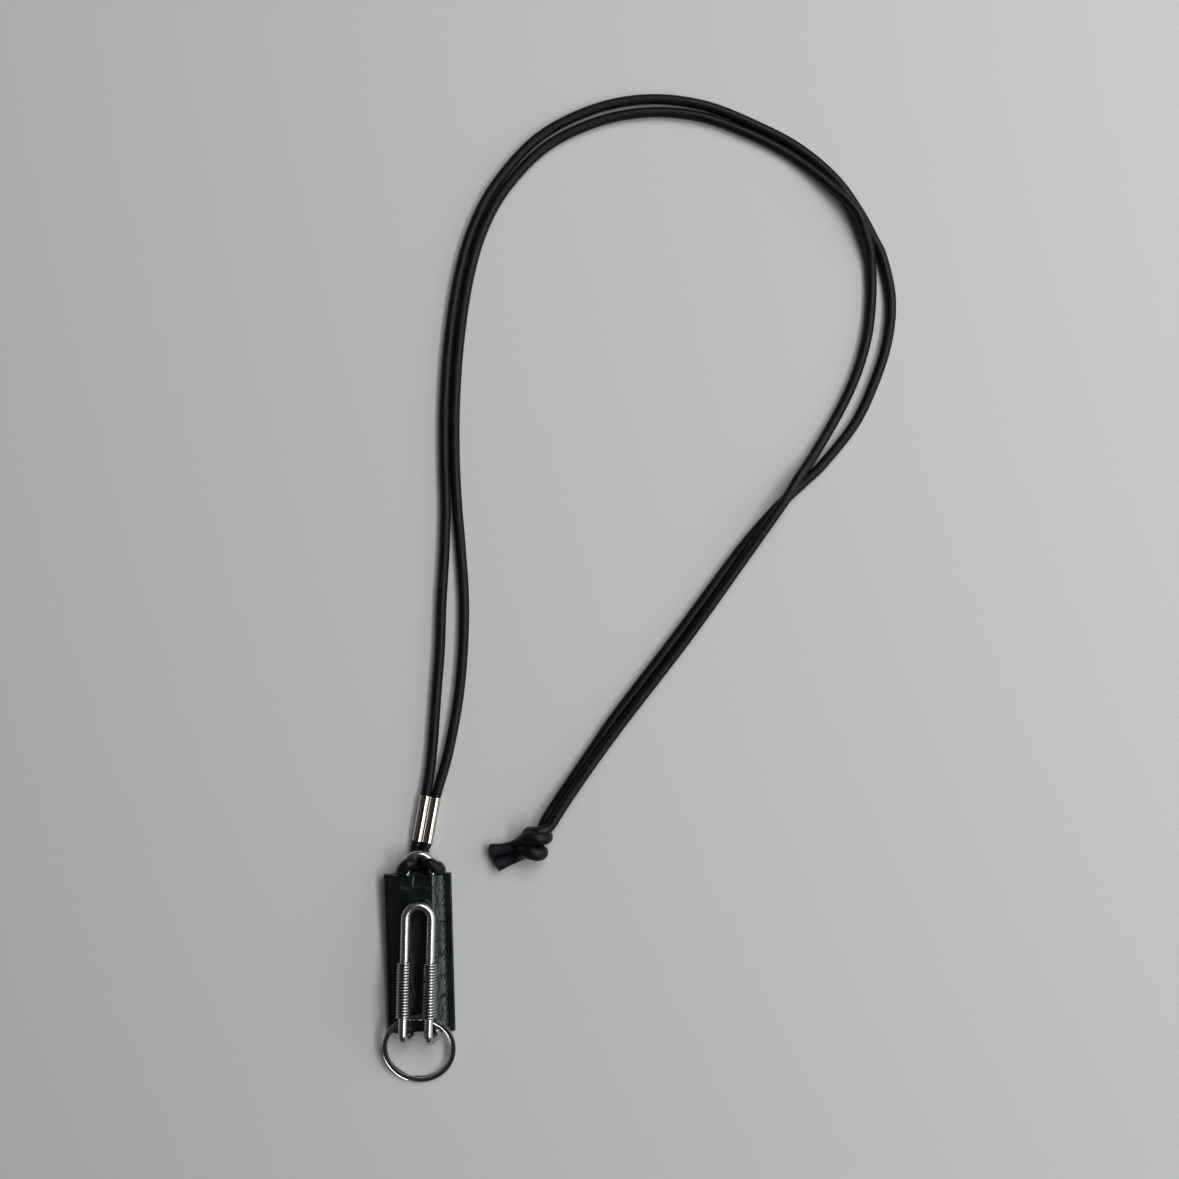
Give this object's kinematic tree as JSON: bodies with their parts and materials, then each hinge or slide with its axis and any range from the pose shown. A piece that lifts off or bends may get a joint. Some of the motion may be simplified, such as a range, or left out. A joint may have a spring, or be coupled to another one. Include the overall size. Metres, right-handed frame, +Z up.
{
  "type": "leather lanyard with key clip",
  "caption": "Neck lanyard of doubled leather cord, knotted at its end and hitched through a ferrule to a sprung wire clip in a leather sleeve with a split key ring.",
  "frame": {"origin": "on the surface that the lanyard lies on, below the middle of the clip, sleeve and ring", "axes": "+Y from the key ring to the cord's eye, along the clip and sleeve; +Z up, out of the surface; +X to the side of the sleeve's stitched edge"},
  "size_m": [0.1581, 0.2938, 0.0112],
  "materials": {
    "sleeve_leather": "glossy dark green embossed leather",
    "filler_leather": "plain undyed leather",
    "thread": "waxed thread",
    "spring_wire": "satin bright steel",
    "coil_wire": "satin bright steel",
    "ring_steel": "polished nickel plate",
    "ferrule_metal": "polished nickel plate",
    "cord_leather": "satin black round leather"
  },
  "bodies": {
    "root": {"leather_sleeve": "sleeve_leather", "sleeve_filler": "filler_leather", "sleeve_stitching": "thread", "rear_wire": "spring_wire", "cord_ferrule": "ferrule_metal", "cord_hitch": "cord_leather", "left_strand": "cord_leather", "right_strand": "cord_leather", "end_knot": "cord_leather", "left_tail": "cord_leather", "right_tail": "cord_leather"},
    "clip_arm": {"left_hook": "spring_wire", "right_hook": "spring_wire", "front_arm": "spring_wire", "left_coil": "coil_wire", "right_coil": "coil_wire"},
    "key_ring": {"split_ring": "ring_steel"}
  },
  "joints": [
    {"name": "arm_spring", "type": "hinge", "parent": "root", "child": "clip_arm", "pos_m": [0.0014, -0.0183, 0.00211], "axis": [1, 0, 0], "range_deg": [0, 12], "stiffness_Nm_per_rad": 1.5},
    {"name": "ring_swing", "type": "hinge", "parent": "root", "child": "key_ring", "pos_m": [0, -0.01501, 0.00611], "axis": [-1, 0, 0], "range_deg": [0, 110]}
  ]
}
